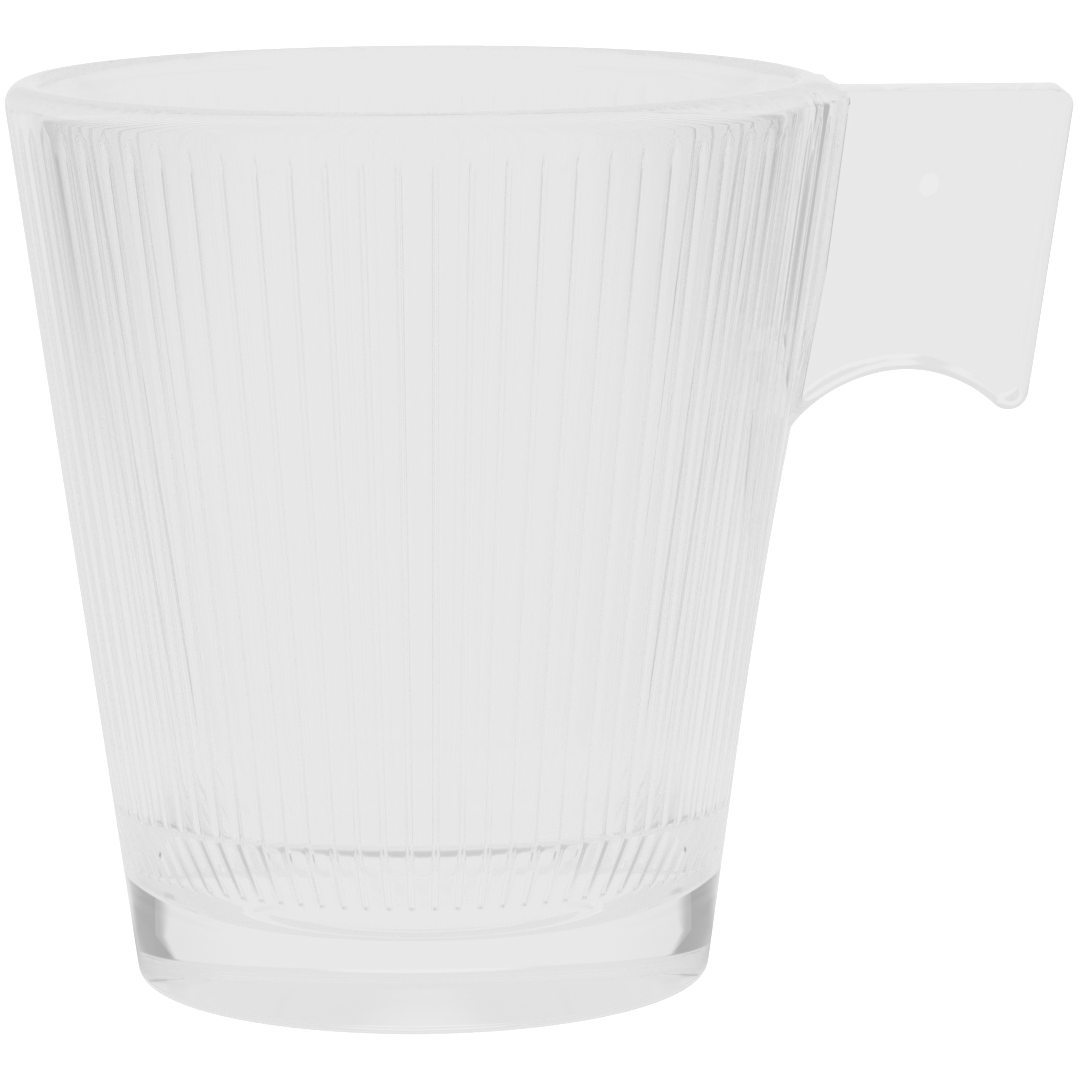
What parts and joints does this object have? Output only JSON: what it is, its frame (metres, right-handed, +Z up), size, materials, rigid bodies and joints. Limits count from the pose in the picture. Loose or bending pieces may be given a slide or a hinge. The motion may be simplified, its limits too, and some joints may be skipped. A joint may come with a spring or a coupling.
{
  "type": "espresso cup",
  "caption": "Tapered clear-glass espresso cup with a plain outside, fine upright ribs inside the bowl, a thick foot and a flat pinch handle beside the rim.",
  "frame": {"origin": "middle of the standing face, on the cup's axis", "axes": "+Z up along the cup's axis, +X from the axis to the handle, +Y away from the picture's camera"},
  "size_m": [0.077, 0.0594, 0.0663],
  "materials": {
    "clear_glass": "clear pressed soda-lime glass, smooth and glossy"
  },
  "bodies": {
    "root": {"base": "clear_glass", "wall": "clear_glass", "rim": "clear_glass", "ribs": "clear_glass", "handle": "clear_glass"}
  },
  "joints": []
}
